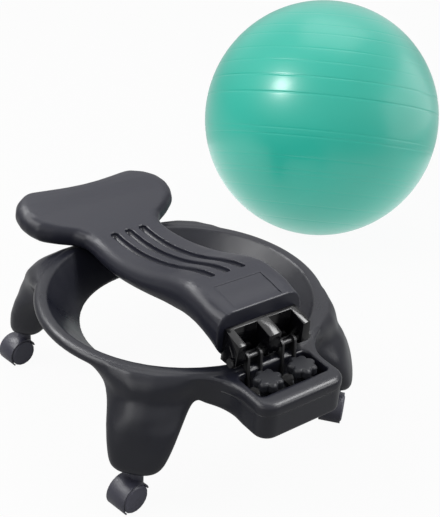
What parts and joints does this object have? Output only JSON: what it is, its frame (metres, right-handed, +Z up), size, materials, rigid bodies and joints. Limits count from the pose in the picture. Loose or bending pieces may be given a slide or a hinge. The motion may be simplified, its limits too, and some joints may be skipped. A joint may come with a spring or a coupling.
{
  "type": "balance ball chair",
  "caption": "Balance ball chair: moulded ring base on swivel casters, backrest folded down on a rear hinge, star knobs in a tray, and a separate inflated ball.",
  "frame": {"origin": "middle of the whole set's footprint, chair and ball together, on the floor", "axes": "+Z up, +Y towards the chair's rear, where the hinge and the knob tray are, +X towards a sitter's left; the ball stands on the -X side"},
  "size_m": [1.1244, 0.9558, 0.5156],
  "materials": {
    "base_plastic": "satin moulded polyethylene, near black",
    "backrest_plastic": "satin moulded polyethylene, near black",
    "block_plastic": "glossy injection moulded, black",
    "knob_plastic": "satin injection moulded, near black",
    "plated_steel": "zinc plated",
    "blackened_steel": "black coated",
    "brass": "turned",
    "caster_nylon": "satin nylon, near black",
    "caster_steel": "bright drawn",
    "wheel_nylon": "satin nylon, black",
    "ball_vinyl": "satin soft vinyl, teal",
    "plug_vinyl": "satin soft vinyl, white"
  },
  "bodies": {
    "base": {"base_moulding": "base_plastic", "hinge_plate_left": "blackened_steel", "hinge_plate_right": "blackened_steel", "hinge_pin": "blackened_steel", "hinge_pin_cap_left": "blackened_steel", "hinge_pin_cap_right": "blackened_steel", "threaded_insert_left": "brass", "threaded_insert_right": "brass", "caster_rear_left_socket": "caster_nylon", "caster_rear_left_stem": "caster_steel", "caster_rear_right_socket": "caster_nylon", "caster_rear_right_stem": "caster_steel", "caster_front_left_socket": "caster_nylon", "caster_front_left_stem": "caster_steel", "caster_front_right_socket": "caster_nylon", "caster_front_right_stem": "caster_steel"},
    "backrest": {"backrest_shell": "backrest_plastic", "backrest_foot_block": "block_plastic", "foot_screw_1": "plated_steel", "foot_screw_2": "plated_steel", "foot_screw_3": "plated_steel", "foot_screw_4": "plated_steel"},
    "knob_left_seat": {"knob_washer_left": "plated_steel"},
    "knob_left_body": {"knob_left": "knob_plastic", "knob_stud_left": "plated_steel"},
    "knob_right_seat": {"knob_washer_right": "plated_steel"},
    "knob_right_body": {"knob_right": "knob_plastic", "knob_stud_right": "plated_steel"},
    "caster_rear_left": {"caster_rear_left_hood": "caster_nylon", "caster_rear_left_axle": "caster_steel"},
    "wheel_rear_left_left": {"caster_rear_left_wheel_left": "wheel_nylon"},
    "wheel_rear_left_right": {"caster_rear_left_wheel_right": "wheel_nylon"},
    "caster_rear_right": {"caster_rear_right_hood": "caster_nylon", "caster_rear_right_axle": "caster_steel"},
    "wheel_rear_right_left": {"caster_rear_right_wheel_left": "wheel_nylon"},
    "wheel_rear_right_right": {"caster_rear_right_wheel_right": "wheel_nylon"},
    "caster_front_left": {"caster_front_left_hood": "caster_nylon", "caster_front_left_axle": "caster_steel"},
    "wheel_front_left_left": {"caster_front_left_wheel_left": "wheel_nylon"},
    "wheel_front_left_right": {"caster_front_left_wheel_right": "wheel_nylon"},
    "caster_front_right": {"caster_front_right_hood": "caster_nylon", "caster_front_right_axle": "caster_steel"},
    "wheel_front_right_left": {"caster_front_right_wheel_left": "wheel_nylon"},
    "wheel_front_right_right": {"caster_front_right_wheel_right": "wheel_nylon"},
    "ball": {"ball": "ball_vinyl", "ball_plug": "plug_vinyl"}
  },
  "joints": [
    {"name": "backrest_fold", "type": "hinge", "parent": "base", "child": "backrest", "pos_m": [0.32248, 0.38685, 0.229], "axis": [-1, 0, 0], "range_deg": [0, 90]},
    {"name": "knob_left_rise", "type": "slide", "parent": "base", "child": "knob_left_seat", "axis": [0, 0, 1], "range_m": [0, 0.0025]},
    {"name": "knob_left_turn", "type": "hinge", "parent": "knob_left_seat", "child": "knob_left_body", "pos_m": [0.35348, 0.42585, 0.192], "axis": [0, 0, 1], "range_deg": [0, 720]},
    {"name": "knob_right_rise", "type": "slide", "parent": "base", "child": "knob_right_seat", "axis": [0, 0, 1], "range_m": [0, 0.0025]},
    {"name": "knob_right_turn", "type": "hinge", "parent": "knob_right_seat", "child": "knob_right_body", "pos_m": [0.29148, 0.42585, 0.192], "axis": [0, 0, 1], "range_deg": [0, 720]},
    {"name": "caster_rear_left_swivel", "type": "hinge", "parent": "base", "child": "caster_rear_left", "pos_m": [0.51743, 0.34082, 0.062], "axis": [0, 0, 1], "continuous": true},
    {"name": "wheel_rear_left_left_roll", "type": "hinge", "parent": "caster_rear_left", "child": "wheel_rear_left_left", "pos_m": [0.53314, 0.34388, 0.023], "axis": [-0.1908, 0.9816, 0], "continuous": true},
    {"name": "wheel_rear_left_right_roll", "type": "hinge", "parent": "caster_rear_left", "child": "wheel_rear_left_right", "pos_m": [0.53314, 0.34388, 0.023], "axis": [-0.1908, 0.9816, 0], "continuous": true},
    {"name": "caster_rear_right_swivel", "type": "hinge", "parent": "base", "child": "caster_rear_right", "pos_m": [0.12753, 0.34082, 0.062], "axis": [0, 0, 1], "continuous": true},
    {"name": "wheel_rear_right_left_roll", "type": "hinge", "parent": "caster_rear_right", "child": "wheel_rear_right_left", "pos_m": [0.13978, 0.35111, 0.023], "axis": [-0.6428, 0.766, 0], "continuous": true},
    {"name": "wheel_rear_right_right_roll", "type": "hinge", "parent": "caster_rear_right", "child": "wheel_rear_right_right", "pos_m": [0.13978, 0.35111, 0.023], "axis": [-0.6428, 0.766, 0], "continuous": true},
    {"name": "caster_front_left_swivel", "type": "hinge", "parent": "base", "child": "caster_front_left", "pos_m": [0.49444, -0.07614, 0.062], "axis": [0, 0, 1], "continuous": true},
    {"name": "wheel_front_left_left_roll", "type": "hinge", "parent": "caster_front_left", "child": "wheel_front_left_left", "pos_m": [0.5102, -0.07336, 0.023], "axis": [-0.1736, 0.9848, 0], "continuous": true},
    {"name": "wheel_front_left_right_roll", "type": "hinge", "parent": "caster_front_left", "child": "wheel_front_left_right", "pos_m": [0.5102, -0.07336, 0.023], "axis": [-0.1736, 0.9848, 0], "continuous": true},
    {"name": "caster_front_right_swivel", "type": "hinge", "parent": "base", "child": "caster_front_right", "pos_m": [0.15052, -0.07614, 0.062], "axis": [0, 0, 1], "continuous": true},
    {"name": "wheel_front_right_left_roll", "type": "hinge", "parent": "caster_front_right", "child": "wheel_front_right_left", "pos_m": [0.13666, -0.06814, 0.023], "axis": [-0.5, -0.866, 0], "continuous": true},
    {"name": "wheel_front_right_right_roll", "type": "hinge", "parent": "caster_front_right", "child": "wheel_front_right_right", "pos_m": [0.13666, -0.06814, 0.023], "axis": [-0.5, -0.866, 0], "continuous": true},
    {"name": "ball_lift", "type": "slide", "parent": "base", "child": "ball", "axis": [0, 0, 1], "range_m": [0, 0.35]}
  ],
  "couplings": [
    {"joint": "knob_left_rise", "follows": "knob_left_turn", "m_per_rad": 0.00019894},
    {"joint": "knob_right_rise", "follows": "knob_right_turn", "m_per_rad": 0.00019894}
  ]
}
